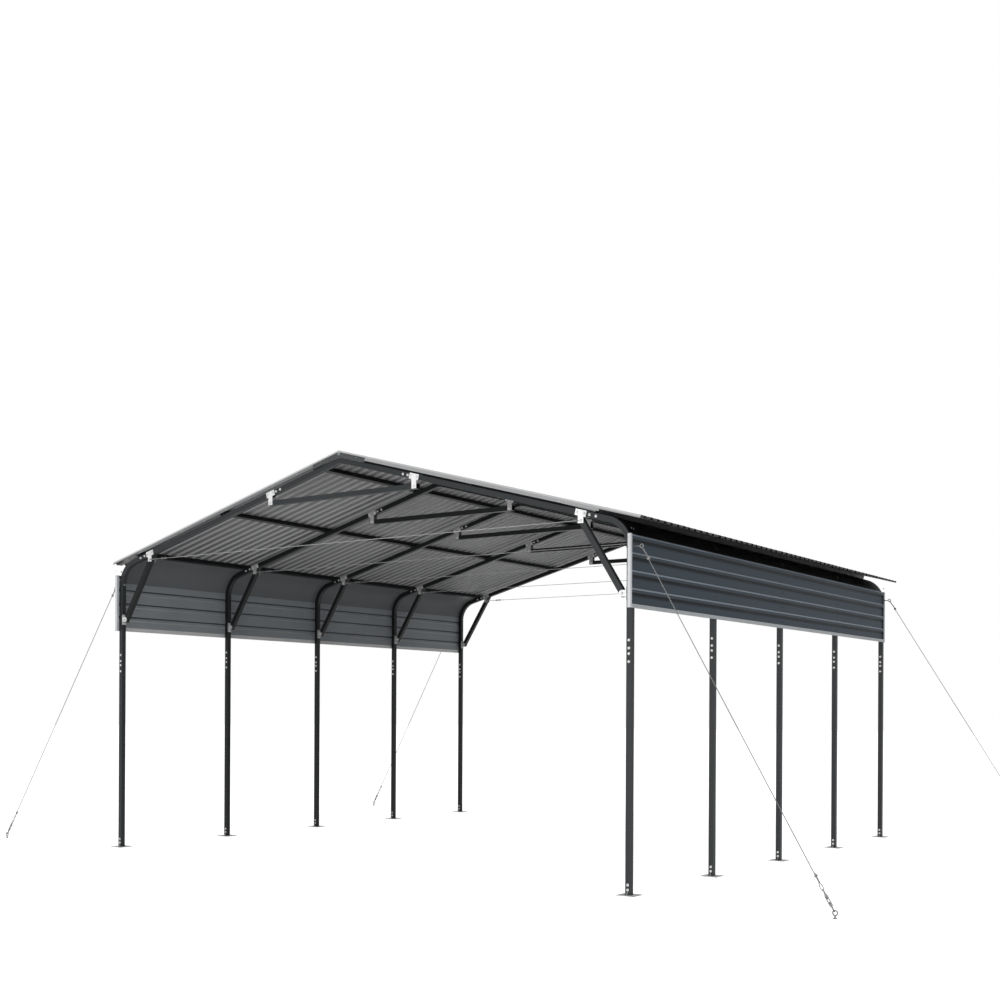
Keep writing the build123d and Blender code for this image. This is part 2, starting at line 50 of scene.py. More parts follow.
# Sizes read from the frame
post_low, post_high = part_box("right_posts")
tube = post_high.x - post_low.x
half_tube = tube / 2
half_span = (post_low.x + post_high.x) / 2
frame_count = 5
first_frame = post_low.y + half_tube
last_frame = post_high.y - half_tube
bay = (last_frame - first_frame) / (frame_count - 1)
frame_places = [first_frame + n * bay for n in range(frame_count)]
sides = (-1, 1)

# Sizes that the new pieces share with the frame
fit_gap = 0.0003
link_gap = 0.0006
pitch = math.radians(15)
rafter_apex = 3.608
post_joint = 1.939
front_post_joint = 1.858
plate_thickness = 0.005
bracket_thickness = 0.003
sheet_thickness = 0.0005
trim_thickness = 0.0008
knee_head_inset = 0.432
knee_head_drop = 0.060
knee_foot_reach = 0.0405
knee_height = 0.583
tie_drop = 0.308
tie_bracket_x = 0.841
roof_front_reach = 0.0125
first_rib = 0.027
rib_pitch = 0.110
rib_count = 55
lap_top = 0.0815
purlin_places = (0.285, 1.510, 2.735)
gable_trim_height = 0.041
panel_bottom = 2.184
panel_first_rib = 0.126
panel_rib_pitch = 0.1355
panel_rib_depth = 0.011
eye_reach = 0.093
eye_height = 2.650
eye_ring_radius = 0.014
eye_wire = 0.004
eye_shank = 0.0045
anchor_out = 1.675
anchor_spread = 0.157
anchor_height = 0.040
anchor_ring_radius = 0.017
anchor_wire = 0.005
rope_radius = 0.0025
thimble_radius = 0.011
buckle_body = 0.095
buckle_neck = 0.026
buckle_eye = 0.011
buckle_eye_wire = 0.003
buckle_rod = 0.004
tie_wire = 0.002
tie_buckle_place = 0.135
tie_stud = 0.038
tie_stud_radius = 0.003
tie_body = 0.076

# Places worked out from them
knee_head_x = half_span - knee_head_inset
knee_head_z = rafter_apex - knee_head_x * math.tan(pitch) - knee_head_drop
knee_foot_x = half_span - half_tube - knee_foot_reach
knee_foot_z = knee_head_z - knee_height
tie_height = rafter_apex - tie_drop
roof_front = first_frame - half_tube - roof_front_reach
trim_face = roof_front - 2 * trim_thickness
panel_face = half_span + half_tube + sheet_thickness
panel_trim_outer = panel_face + panel_rib_depth + fit_gap + trim_thickness
eye_x = half_span + eye_reach
anchor_x = half_span + anchor_out
anchor_y = last_frame + anchor_spread

# Bolts, nuts and screws: width across the flats, height of the head, radius of the washer
tube_bolt = (0.013, 0.006, 0.011)
tube_nut = (0.013, 0.007, 0.011)
bracket_bolt = (0.016, 0.007, 0.0125)
bracket_nut = (0.016, 0.008, 0.0125)
eye_nut = (0.014, 0.008, 0.011)
roof_screw = (0.008, 0.004, 0.008)
panel_screw = (0.008, 0.004, 0.0075)
rivet_radius = 0.0035
washer_share = 0.3
smooth_angle = 35.0
screw_clearance = 0.02

# Places of small fasteners
splice_steps = (-0.082, -0.021, 0.021, 0.082)
foot_bolt_heights = (0.043, 0.080)
rafter_bolt_places = (0.720, 0.772, 2.571, 2.630)
bracket_bolt_step = 0.034
foot_bolt_step = 0.036
loop_thickness = 0.0043
screw_sink = 0.0004
cap_screw_place = 0.150
panel_first_screw = 0.058
panel_screw_count = 5
panel_screw_heights = [
    panel_bottom + panel_first_screw + n * panel_rib_pitch for n in range(panel_screw_count)]
gable_first_rivet = 0.20
gable_rivet_count = 9
gable_rivet_pitch = 0.310
gable_rivet_drop = 0.030
end_rivet_inset = 0.012
bottom_rivet_count = 12
bottom_rivet_rise = 0.016

# Eye bolts, ropes and their fittings
eye_shank_end = 0.018
eye_thread_start = 0.016
eye_thread_out = 0.022
eye_washer = 0.002
ring_overlap = 0.001
collar_radius = 0.016
collar_height = 0.007
ring_weld = 0.0018
ring_weld_drop = 0.004
strand_radius = 0.0034
cross_strand_radius = 0.0029
thread_lay = 0.0018
merge_distance = 0.000005
loop_stretch = 0.050
dead_end = 0.118
clamp_place = 0.097
clamp_saddle = (0.024, 0.010, 0.015)
clamp_edge = 0.0015
clamp_leg_radius = 0.0078
clamp_leg_wire = 0.0022
clamp_leg_shift = 0.0035
clamp_nut = (0.008, 0.005)
clamp_nut_shift = 0.0045
buckle_width = 0.026
buckle_bar = 0.0042
buckle_hub = 0.0080
buckle_neck_radius = 0.0046
buckle_neck_length = 0.012
buckle_lock = (0.013, 0.006)
tie_buckle_width = 0.019
tie_buckle_bar = 0.0028
tie_buckle_hub = 0.0055
tie_loop = 0.0085
tie_loop_end = 0.009
sleeve_radius = 0.0036
sleeve_length = 0.022
sleeve_overlap = 0.004
sleeve_place = 0.012
tie_lock = (0.010, 0.005)
tie_lock_gap = 0.003

# Thin trims and welds
lip_height = 0.034
lip_fold = 0.003
lip_gap = 0.0002
lip_rise = 0.0004
lip_end_gap = 0.006
cover_reach = 0.300
cover_height = 0.026
cover_rise = 0.001
cover_gap = 0.0004
cover_edge = 0.0003
weld_radius = 0.0026
weld_reach = 0.001
weld_rise = 0.0006
weld_ripple = 0.0006

# Where the looks change, as a low and a high end of each change
# Painted shade behind the front frame and inside the right posts
shade_y = (-2.86, -2.84)
shade_x = (2.4, 2.3)
front_trim_y = (-2.935, -2.920)
# Band of painted highlight along the top of the gable trims
gable_highlight_band = (lap_top - 0.016, lap_top - 0.011)
eave_shade_x = (2.90, 2.96)

# The studio: the floor's size, tone and glow, and the sky's light on the object
floor_size = 160
floor_drop = 0.0005
floor_level = 178
floor_glow = 0.86
sky_light = 0.75

# The photograph's camera: a 47 mm lens at eye height, off the front right corner
camera_place = Vector((7.780, -11.663, 1.407))
camera_yaw = math.radians(34.616)
camera_roll = math.radians(0.285)
camera_lens = 47.27
camera_rise = 0.2096
camera_reach = 300


def slope_x(along, rise=0.0):
    return along * math.cos(pitch) + rise * math.sin(pitch)


def slope_z(along, rise=0.0):
    return rafter_apex - along * math.sin(pitch) + rise * math.cos(pitch)


def slope_point(side, y, along, rise=0.0):
    """Point on a slope: so far along it from the ridge, and so far off the rafter's axis."""
    return Vector((side * slope_x(along, rise), y, slope_z(along, rise)))


def axis_z(x):
    """Height of the rafter's axis at a distance from the middle."""
    return rafter_apex - x * math.tan(pitch)


def deselect():
    if bpy.context.object and bpy.context.object.mode != "OBJECT":
        bpy.ops.object.mode_set(mode="OBJECT")
    bpy.ops.object.select_all(action="DESELECT")


class Tree:
    """A node tree with short ways to add and join nodes."""

    def __init__(self, tree):
        self.tree = tree

    def add(self, kind, **inputs):
        node = self.tree.nodes.new(kind)
        for name, value in inputs.items():
            if hasattr(node, name) and name not in node.inputs:
                setattr(node, name, value)
            else:
                self.feed(node.inputs[name.replace("_", " ")], value)
        return node

    def feed(self, socket, value):
        if isinstance(value, bpy.types.NodeSocket):
            self.tree.links.new(value, socket)
        else:
            socket.default_value = value

    def math(self, operation, first, second=0.0, clamp=False):
        node = self.tree.nodes.new("ShaderNodeMath")
        node.operation = operation
        node.use_clamp = clamp
        self.feed(node.inputs[0], first)
        self.feed(node.inputs[1], second)
        return node.outputs[0]

    def dot(self, first, second):
        node = self.add("ShaderNodeVectorMath", operation="DOT_PRODUCT")
        self.feed(node.inputs[0], first)
        self.feed(node.inputs[1], second)
        return node.outputs["Value"]

    def mix(self, share, first, second):
        """Mix of two colours."""
        node = self.tree.nodes.new("ShaderNodeMix")
        node.data_type = "RGBA"
        self.feed(node.inputs[0], share)
        self.feed(node.inputs[6], first)
        self.feed(node.inputs[7], second)
        return node.outputs[2]

    def blend(self, share, first, second):
        """Mix of two numbers."""
        node = self.tree.nodes.new("ShaderNodeMix")
        self.feed(node.inputs[0], share)
        self.feed(node.inputs[2], first)
        self.feed(node.inputs[3], second)
        return node.outputs[0]

    def span(self, value, low, high, to_low=0.0, to_high=1.0):
        node = self.tree.nodes.new("ShaderNodeMapRange")
        for place, number in enumerate((value, low, high, to_low, to_high)):
            self.feed(node.inputs[place], number)
        return node.outputs[0]

    def noise(self, vector, scale, detail, rough):
        node = self.add(
            "ShaderNodeTexNoise", Vector=vector, Scale=scale, Detail=detail, Roughness=rough)
        return node.outputs[0]

    def place(self):
        return self.add("ShaderNodeTexCoord").outputs["Object"]

    def stretched(self, scale):
        """Object coordinates, stretched along an axis."""
        return self.add("ShaderNodeMapping", Vector=self.place(), Scale=scale).outputs[0]

    def normal(self):
        return self.add("ShaderNodeNewGeometry").outputs["Normal"]

    def axes(self, vector):
        """The X, Y and Z of a vector, by name."""
        return self.add("ShaderNodeSeparateXYZ", Vector=vector).outputs


def grey(level, tint=(0, 0, 0)):
    """A colour from its level as it looks on screen, 0 to 255, with a tint added to each part."""
    parts = [max(0.0, (level + t) / 255) for t in tint]
    linear = [p / 12.92 if p < 0.04045 else ((p + 0.055) / 1.055) ** 2.4 for p in parts]
    return (*linear, 1.0)


def new_group(name, inputs, outputs):
    group = bpy.data.node_groups.new(name, "ShaderNodeTree")
    for label, value in inputs:
        socket = group.interface.new_socket(label, in_out="INPUT", socket_type="NodeSocketFloat")
        socket.default_value = value
    for label in outputs:
        group.interface.new_socket(label, in_out="OUTPUT", socket_type="NodeSocketFloat")
    tree = Tree(group)
    return group, tree, tree.add("NodeGroupInput"), tree.add("NodeGroupOutput")


def dirt_group():
    """Dust and rain streaks: soft blotches, with thin runs down the slope or the wall."""
    group, tree, start, end = new_group("dirt", [("Size", 3.0), ("Amount", 0.5)], ["Mask"])
    blotch = tree.span(tree.noise(tree.place(), start.outputs["Size"], 5.0, 0.62), 0.35, 0.72)
    runs = tree.noise(tree.stretched((0.5, 9.0, 0.35)), 4.0, 3.0, 0.6)
    both = tree.math("MULTIPLY", blotch, tree.span(runs, 0.3, 0.75, 0.35, 1.0))
    tree.feed(end.inputs["Mask"], tree.math("MULTIPLY", both, start.outputs["Amount"], True))
    return group


def edge_group():
    """Where a surface turns at an edge: paint is thinner and rubbed there."""
    group, tree, start, end = new_group("edge", [("Width", 0.002), ("Grain", 90.0)], ["Mask"])
    bevel = tree.add("ShaderNodeBevel", Radius=start.outputs["Width"], samples=4)
    edge = tree.span(tree.dot(bevel.outputs[0], tree.normal()), 0.995, 0.9)
    grain = tree.span(tree.noise(tree.place(), start.outputs["Grain"], 4.0, 0.7), 0.4, 0.62)
    tree.feed(end.inputs["Mask"], tree.math("MULTIPLY", edge, grain, True))
    return group


def grain_group():
    """Fine skin of a baked paint: orange peel with a little grit."""
    group, tree, start, end = new_group("grain", [("Size", 260.0)], ["Height"])
    peel = tree.noise(tree.place(), start.outputs["Size"], 2.0, 0.5)
    wide = tree.math("MULTIPLY", tree.noise(tree.place(), 12.0, 2.0, 0.5), 0.5)
    tree.feed(end.inputs["Height"], tree.math("ADD", peel, wide))
    return group


def spangle_group():
    """The frosted crystals of hot-dip zinc, as a tone and a faint relief."""
    group, tree, start, end = new_group("spangle", [("Size", 90.0)], ["Tone", "Height"])
    warp = tree.math("MULTIPLY", tree.noise(tree.place(), 60.0, 2.0, 0.5), 0.3)
    cells = tree.add("ShaderNodeTexVoronoi", Vector=tree.place(), Scale=start.outputs["Size"])
    tone = tree.add("ShaderNodeSeparateColor")
    tree.feed(tone.inputs[0], cells.outputs["Color"])
    mixed = tree.math("ADD", tree.math("MULTIPLY", tone.outputs[0], 0.7), warp)
    tree.feed(end.inputs["Tone"], mixed)
    tree.feed(end.inputs["Height"], tone.outputs[1])
    return group


groups = {
    "dirt": dirt_group(), "edge": edge_group(), "grain": grain_group(), "spangle": spangle_group()}


def use(tree, name, **inputs):
    """The outputs of a shared node group."""
    node = tree.tree.nodes.new("ShaderNodeGroup")
    node.node_tree = groups[name]
    for label, value in inputs.items():
        tree.feed(node.inputs[label], value)
    return node.outputs


def new_material(name):
    material = bpy.data.materials.new(name)
    material.use_nodes = True
    material.node_tree.nodes.clear()
    tree = Tree(material.node_tree)
    shader = tree.add("ShaderNodeBsdfPrincipled")
    out = tree.add("ShaderNodeOutputMaterial")
    tree.feed(out.inputs["Surface"], shader.outputs[0])
    return material, tree, shader


def bump(tree, shader, height, strength, distance):
    node = tree.add("ShaderNodeBump", Height=height, Strength=strength, Distance=distance)
    tree.feed(shader.inputs["Normal"], node.outputs[0])


def paint_skin(tree, shader, strength):
    bump(tree, shader, use(tree, "grain", Size=300.0)[0], strength, 0.0004)


def painted_shade_mask(tree):
    """Mask of the painted shade behind the front frame and inside the right posts, where paint and
    zinc are darkened.
    """
    place = tree.axes(tree.place())
    behind = tree.span(place["Y"], *shade_y)
    return tree.math("MULTIPLY", behind, tree.span(place["X"], *shade_x))


def paint(name, colour, dusty, worn, roughness=0.42, shaded_colour=None):
    """Baked paint on steel with dust, rubbed edges and a fine skin.

    Its last colour, if given, is painted shade behind the front frame and inside the right posts,
    where less dust is mixed in.
    """
    material, tree, shader = new_material(name)
    dirt = use(tree, "dirt", Size=2.2, Amount=0.55)[0]
    edge = use(tree, "edge", Width=0.0018)[0]
    shader.inputs["Specular IOR Level"].default_value = 0.18
    # Painted shade: a darker colour, with less dust, behind the front frame and inside the right
    # posts.
    if shaded_colour:
        inner_shade = painted_shade_mask(tree)
        colour = tree.mix(inner_shade, colour, shaded_colour)
        dirt = tree.math("MULTIPLY", dirt, tree.span(inner_shade, 0.0, 1.0, 1.0, 0.25))
    tone = tree.mix(tree.math("MULTIPLY", edge, 0.6), tree.mix(dirt, colour, dusty), worn)
    tree.feed(shader.inputs["Base Color"], tone)
    tree.feed(shader.inputs["Roughness"], tree.blend(dirt, roughness, roughness + 0.22))
    paint_skin(tree, shader, 0.12)
    return material


def flanks(tree, colour, lean, back, pale, dark):
    """Painted highlight on the flanks of the ribs that lean one way, and painted shade on those
    that lean the other.

    pale and dark are the colours outside; the backing coat inside has its own.
    """
    # Inside, the backing coat's painted highlight is grey(205) and its painted shade grey(72).
    pale = tree.mix(back, pale, grey(205))
    dark = tree.mix(back, dark, grey(72, (-3, 0, 3)))
    colour = tree.mix(tree.span(lean, 0.15, 0.5, 0.0, 0.85), colour, pale)
    return tree.mix(tree.span(lean, -0.15, -0.5), colour, dark)


def roof_ribs(tree, colour, normal, back):
    """Ribs that run down a slope: painted light and shade on the flanks, pale inside on those that
    face the front and dark on those that face back, and painted shade inside under the eaves.
    """
    lean = tree.math("MULTIPLY", tree.axes(normal)["Y"], -1.0)
    # Outside, the front flanks take grey(60) and the back flanks a near-black painted shade.
    colour = flanks(tree, colour, lean, back, grey(60), grey(5))
    out = tree.math("ABSOLUTE", tree.axes(tree.place())["X"])
    shade = tree.math("MULTIPLY", back, tree.span(out, *eave_shade_x))
    return tree.mix(shade, colour, grey(48))


def wall_ribs(tree, colour, normal, back):
    """Ribs that run along a wall: painted highlight on the upper flanks, painted shade on the lower
    ones, and a band of painted shadow outside under each of them.
    """
    lean = tree.axes(normal)["Z"]
    # Outside, the upper flanks take a pale painted highlight and the lower ones a near-black
    # painted shade.
    colour = flanks(tree, colour, lean, back, grey(140, (-8, 0, 8)), grey(5))
    # Painted shadow: a near-black band on the outside just under each rib.
    height = tree.axes(tree.place())["Z"]
    rise = tree.math("SUBTRACT", height, panel_bottom + panel_first_rib)
    turns = tree.math("ADD", tree.math("DIVIDE", rise, panel_rib_pitch), 20.5)
    step = tree.math("FRACT", turns)
    under = tree.math("MULTIPLY", tree.span(step, 0.16, 0.32), tree.span(step, 0.43, 0.40))
    under = tree.math("MULTIPLY", under, tree.math("SUBTRACT", 1.0, back))
    return tree.mix(tree.math("MULTIPLY", under, 0.8), colour, grey(8, (-4, 0, 4)))


def coated_sheet(name, outside, inside, outward, ribs=None, shine=0.05):
    """Coil-coated sheet: one coat outside and a paler one inside, each a clean and a dusty colour.

    outward is the way its outside faces, and ribs paints light and shade onto the flanks of its
    ribs.
    """
    material, tree, shader = new_material(name)
    dirt = use(tree, "dirt", Size=1.1, Amount=0.6)[0]
    normal = tree.normal()
    back = tree.math("LESS_THAN", tree.dot(normal, outward), 0.0)
    colour = tree.mix(back, tree.mix(dirt, *outside), tree.mix(dirt, *inside))
    if ribs:
        colour = ribs(tree, colour, normal, back)
    shader.inputs["Specular IOR Level"].default_value = shine
    tree.feed(shader.inputs["Base Color"], colour)
    tree.feed(shader.inputs["Roughness"], tree.blend(dirt, 0.38, 0.6))
    wave = tree.math("MULTIPLY", tree.noise(tree.stretched((0.6, 2.5, 2.5)), 2.0, 2.0, 0.5), 6.0)
    bump(tree, shader, tree.math("ADD", wave, use(tree, "grain", Size=220.0)[0]), 0.10, 0.0006)
    return material


def trim(name, upright, level, worn):
    """Pale folded trim: paler at the front end than along the sides."""
    material, tree, shader = new_material(name)
    dirt = use(tree, "dirt", Size=3.0, Amount=0.5)[0]
    edge = use(tree, "edge", Width=0.0012)[0]
    run = tree.span(tree.axes(tree.place())["Y"], *front_trim_y)
    tone = tree.mix(tree.math("MULTIPLY", dirt, 0.7), tree.mix(run, upright, level), grey(130))
    tone = tree.mix(tree.math("MULTIPLY", edge, 0.5), tone, worn)
    tree.feed(shader.inputs["Base Color"], tone)
    tree.feed(shader.inputs["Roughness"], tree.blend(dirt, 0.42, 0.62))
    paint_skin(tree, shader, 0.1)
    return material


def gable(name, top, face, dusty):
    """Gable trim with a painted highlight along its top edge and a greyer face below it."""
    material, tree, shader = new_material(name)
    dirt = use(tree, "dirt", Size=3.0, Amount=0.5)[0]
    place = tree.axes(tree.place())
    across = tree.math("MULTIPLY", tree.math("ABSOLUTE", place["X"]), math.sin(pitch))
    below = tree.math("SUBTRACT", place["Z"], rafter_apex)
    rise = tree.math("ADD", across, tree.math("MULTIPLY", below, math.cos(pitch)))
    # Painted highlight: the top colour on the band along the upper edge.
    tone = tree.mix(tree.span(rise, *gable_highlight_band), tree.mix(dirt, face, dusty), top)
    tree.feed(shader.inputs["Base Color"], tone)
    tree.feed(shader.inputs["Roughness"], tree.blend(dirt, 0.42, 0.62))
    paint_skin(tree, shader, 0.1)
    return material


def zinc(name, light, dark, roughness, size, metal=0.6, shaded_tone=None):
    """Zinc on steel, with crystals and dull patches; its last tone, if given, is painted shade
    behind the front frame and inside the right posts.
    """
    material, tree, shader = new_material(name)
    crystals = use(tree, "spangle", Size=size)
    dirt = use(tree, "dirt", Size=9.0, Amount=0.5)[0]
    tone = tree.mix(crystals["Tone"], dark, light)
    # Painted shade: a darker tone behind the front frame and inside the right posts.
    if shaded_tone:
        tone = tree.mix(painted_shade_mask(tree), tone, shaded_tone)
    tree.feed(shader.inputs["Base Color"], tree.mix(dirt, tone, grey(92, (-1, 0, 1))))
    shader.inputs["Metallic"].default_value = metal
    polish = tree.blend(crystals["Tone"], roughness + 0.12, roughness)
    tree.feed(shader.inputs["Roughness"], polish)
    bump(tree, shader, crystals["Height"], 0.15, 0.0003)
    return material


panel_coat = (grey(68, (-9, 1, 10)), grey(76, (-8, 1, 9)))
finishes = {
    # frame_paint's last colour, near-black, is painted shade behind the front frame and inside the
    # right posts.
    "frame_paint": paint(
        "frame_paint", grey(46, (-3, 0, 2)), grey(58, (-3, 0, 2)), grey(84), 0.45,
        grey(22, (-2, 0, 1))),
    # A near-black copy of the frame paint for the left knee braces: painted shade.
    "dark_frame_paint": paint(
        "dark_frame_paint", grey(20, (-2, 0, 1)), grey(30), grey(60), 0.45),
    "plate_paint": paint("plate_paint", grey(70, (-3, 0, 2)), grey(84), grey(110)),
    "lip_paint": paint("lip_paint", grey(226), grey(205), grey(235)),
    "screw_paint": paint("screw_paint", grey(62), grey(80), grey(110)),
    "trim_paint": trim(
        "trim_paint", grey(205, (-2, 0, 3)), grey(168, (-4, 0, 3)), grey(180)),
    # Gable trims: a painted highlight along the top, and the left face darker than the right as
    # painted shade.
    "left_gable_paint": gable("left_gable_paint", grey(188), grey(112, (-2, 1, 3)), grey(96)),
    "right_gable_paint": gable("right_gable_paint", grey(178), grey(150, (-1, 0, 2)), grey(132)),
    # Roof sheets: the ribs' flanks carry painted light and shade, and the inside under the eaves
    # painted shade.
    "sheet_paint": coated_sheet(
        "sheet_paint", (grey(66, (-2, 1, 4)), grey(88)), (grey(110, (0, 0, 2)), grey(92)),
        (0, 0, 1), roof_ribs, 0.2),
    # Side panels: the ribs carry a painted highlight above, painted shade below and a painted
    # shadow band under each rib; the left inside is paler than the right as painted light.
    "left_panel_paint": coated_sheet(
        "left_panel_paint", panel_coat, (grey(160, (-5, 0, 5)), grey(142, (-4, 0, 4))),
        (-1, 0, 0), wall_ribs),
    "right_panel_paint": coated_sheet(
        "right_panel_paint", panel_coat, (grey(150), grey(134)), (1, 0, 0), wall_ribs),
    # Eave sheets: near-black outsides are painted shade under the roof's overhang, and the left and
    # right copies differ as painted light and shade.
    "left_eave_paint": coated_sheet(
        "left_eave_paint", (grey(22), grey(32)), (grey(118, (-3, 0, 3)), grey(102)), (-1, 0, 1)),
    "right_eave_paint": coated_sheet(
        "right_eave_paint", (grey(7), grey(10)), (grey(98), grey(84)), (1, 0, 1)),
    # The brackets' last tone is painted shade behind the front frame and inside the right posts.
    "zinc_bracket": zinc("zinc_bracket", grey(244), grey(226), 0.4, 160.0, 0.3, grey(172)),
    "zinc_plate": zinc("zinc_plate", grey(205), grey(165), 0.42, 90.0),
    "zinc_fitting": zinc("zinc_fitting", grey(150), grey(115), 0.38, 300.0, 0.4),
    "bare_steel": zinc("bare_steel", grey(170), grey(140), 0.45, 120.0),
    "wire_rope": zinc("wire_rope", grey(140), grey(108), 0.4, 500.0),
    "cross_rope": zinc("cross_rope", grey(192), grey(160), 0.4, 500.0, 0.3),
    # The bolts' last tone is painted shade behind the front frame and inside the right posts.
    "zinc_bolt": zinc("zinc_bolt", grey(230), grey(205), 0.35, 300.0, 0.4, grey(205)),
    "rivet_zinc": zinc("rivet_zinc", grey(205), grey(180), 0.32, 300.0),
}


def dress_frame():
    """The frame's own nodes get the finish of their slot, and a side's own where it has one."""
    slots = {part["node"]: part["material_slot"] for part in frame["record"]["subparts"]}
    for name, node in nodes.items():
        slot = slots[name]
        side = name.split("_")[0]
        # Each side's panels and eave sheets take their own finish, which carries painted light and
        # shade.
        if slot == "panel_paint":
            slot = side + ("_eave_paint" if "eave" in name else "_panel_paint")
        # Each side's gable trim takes its own finish with painted light and shade.
        if slot == "trim_paint" and "gable" in name:
            slot = side + "_gable_paint"
        # The left knee braces take the near-black copy of the frame paint: painted shade.
        if name == "left_knee_braces":
            slot = "dark_frame_paint"
        node.data.materials.clear()
        node.data.materials.append(finishes[slot])


def finish_mesh(name, smooth=smooth_angle):
    """Turn the active piece's mesh outwards, and put its place into it."""
    bpy.ops.object.mode_set(mode="EDIT")
    bpy.ops.mesh.select_all(action="SELECT")
    bpy.ops.mesh.normals_make_consistent(inside=False)
    bpy.ops.object.mode_set(mode="OBJECT")
    bpy.ops.object.transform_apply(location=True, rotation=True, scale=True)
    bpy.ops.object.shade_smooth_by_angle(angle=math.radians(smooth))
    bpy.context.object.name = name
    return bpy.context.object


def pick(test, kind="VERT"):
    """Go to edit mode with only the points or faces that pass the test selected."""
    bpy.ops.object.mode_set(mode="EDIT")
    bpy.ops.mesh.select_mode(type=kind)
    bpy.ops.mesh.select_all(action="DESELECT")
    bpy.ops.object.mode_set(mode="OBJECT")
    mesh = bpy.context.object.data
    if kind == "FACE":
        for face in mesh.polygons:
            face.select = test(face.center, face.normal)
    else:
        for point in mesh.vertices:
            point.select = test(point.co)
    bpy.ops.object.mode_set(mode="EDIT")


def slide(test, shift):
    pick(test)
    bpy.ops.transform.translate(value=shift)
    bpy.ops.object.mode_set(mode="OBJECT")


def squeeze(test, scale):
    pick(test)
    bpy.ops.transform.resize(value=scale, center_override=(0, 0, 0))
    bpy.ops.object.mode_set(mode="OBJECT")


def bevel_faces(test, offset, segments=1):
    """Bevel the edges of the faces that pass the test."""
    pick(test, "FACE")
    bpy.ops.mesh.bevel(offset=offset, segments=segments, affect="EDGES")
    bpy.ops.object.mode_set(mode="OBJECT")


def inset_top(thickness, depth):
    pick(lambda centre, normal: normal.z > 0.9, "FACE")
    bpy.ops.mesh.inset(thickness=thickness, depth=depth)
    bpy.ops.object.mode_set(mode="OBJECT")


def cylinder(radius, low, height, sides_round):
    deselect()
    bpy.ops.mesh.primitive_cylinder_add(
        vertices=sides_round, radius=radius, depth=height, location=(0, 0, low + height / 2))
    return bpy.context.object


def block(size, place=(0, 0, 0)):
    deselect()
    bpy.ops.mesh.primitive_cube_add(size=1, scale=size, location=place)
    bpy.ops.object.transform_apply(location=False, rotation=False, scale=True)
    return bpy.context.object


def bar(radius, low, high, sides_round=16, edge=0.12):
    """Round or many-sided bar along Z with chamfered ends."""
    piece = cylinder(radius, low, high - low, sides_round)
    bevel_faces(lambda centre, normal: abs(normal.z) > 0.9, radius * edge)
    return piece


def hoop(radius, wire, around, height=0.0):
    """Round ring whose plane holds Z; it is turned to have its normal along X or Y."""
    deselect()
    turn = (math.pi / 2, 0, 0) if around == "Y" else (0, math.pi / 2, 0)
    bpy.ops.mesh.primitive_torus_add(
        major_radius=radius, minor_radius=wire, major_segments=28, minor_segments=10,
        location=(0, 0, height), rotation=turn)
    bpy.ops.object.transform_apply(location=False, rotation=True, scale=False)
    return bpy.context.object


def joined(pieces, name):
    deselect()
    for piece in pieces:
        piece.select_set(True)
    bpy.context.view_layer.objects.active = pieces[0]
    if len(pieces) > 1:
        bpy.ops.object.join()
    return finish_mesh(name)


def washer(radius, low, height):
    piece = cylinder(radius, low, height, 18)
    inset_top(radius * 0.1, height * 0.3)
    return piece


def hexagon(across, low, height):
    """Hexagon with its corners cut off and a shallow dish in the top."""
    piece = cylinder(across / math.sqrt(3), low, height, 6)
    bevel_faces(lambda centre, normal: abs(normal.z) > 0.9, across * 0.07)
    inset_top(across * 0.14, -height * 0.12)
    return piece


def bolt_head(name, across, height, disc):
    """Hexagon on a washer, which lies on the XY plane."""
    thick = height * washer_share
    return joined([washer(disc, 0.0, thick), hexagon(across, thick, height)], name)


def bolt_nut(name, across, height, disc):
    """Nut on a washer, with the end of its bolt standing out."""
    thick = height * washer_share
    stud = bar(across * 0.3, thick, thick + height * 1.7, 12)
    return joined([washer(disc, 0.0, thick), hexagon(across, thick, height), stud], name)


def twisted(radius, points, lay, low, high, steps, valley=1.0, shift=0.0):
    """Bar along Z of an outline that turns as it goes.

    With a valley its outline has a lobe at every second point, as a rope of strands has. With a
    shift it runs beside its axis, as a screw thread does.
    """
    deselect()
    bpy.ops.mesh.primitive_circle_add(
        vertices=points, radius=radius, fill_type="NOTHING", location=(0, 0, 0))
    if valley < 1.0:
        sector = 2 * math.pi / points
        squeeze(lambda co: round(math.atan2(co.y, co.x) / sector) % 2 == 1, (valley, valley, 1))
    if shift:
        slide(lambda co: True, (shift, 0, 0))
    turns = max(1, round((high - low) / lay))
    bpy.ops.object.modifier_add(type="SCREW")
    screw = bpy.context.object.modifiers[-1]
    screw.axis = "Z"
    screw.angle = 2 * math.pi
    screw.iterations = turns
    screw.screw_offset = (high - low) / turns
    screw.steps = steps
    screw.render_steps = steps
    bpy.ops.object.modifier_apply(modifier=screw.name)
    bpy.ops.object.mode_set(mode="EDIT")
    bpy.ops.mesh.select_all(action="SELECT")
    bpy.ops.mesh.remove_doubles(threshold=merge_distance)
    bpy.ops.mesh.fill_holes(sides=0)
    bpy.ops.object.mode_set(mode="OBJECT")
    bpy.context.object.location.z = low
    return bpy.context.object


def rope(radius, low, high):
    return twisted(radius, 12, 16 * radius, low, high, 8, valley=0.72)


def thread(radius, low, high):
    core = radius * 0.93
    return twisted(core, 8, thread_lay, low, high, 6, shift=core * 0.07)


def facing(place, direction):
    """Matrix that stands a piece at a place with its +Z along a direction."""
    turn = Vector(direction).to_track_quat("Z", "Y")
    return Matrix.Translation(place) @ turn.to_matrix().to_4x4()


def framed(place, across, beside, along):
    """Matrix that stands a piece at a place with its X, Y and Z along three directions."""
    rows = Matrix((across, beside, along)).transposed().to_4x4()
    return Matrix.Translation(place) @ rows


def lifted(height):
    return Matrix.Translation((0, 0, height))


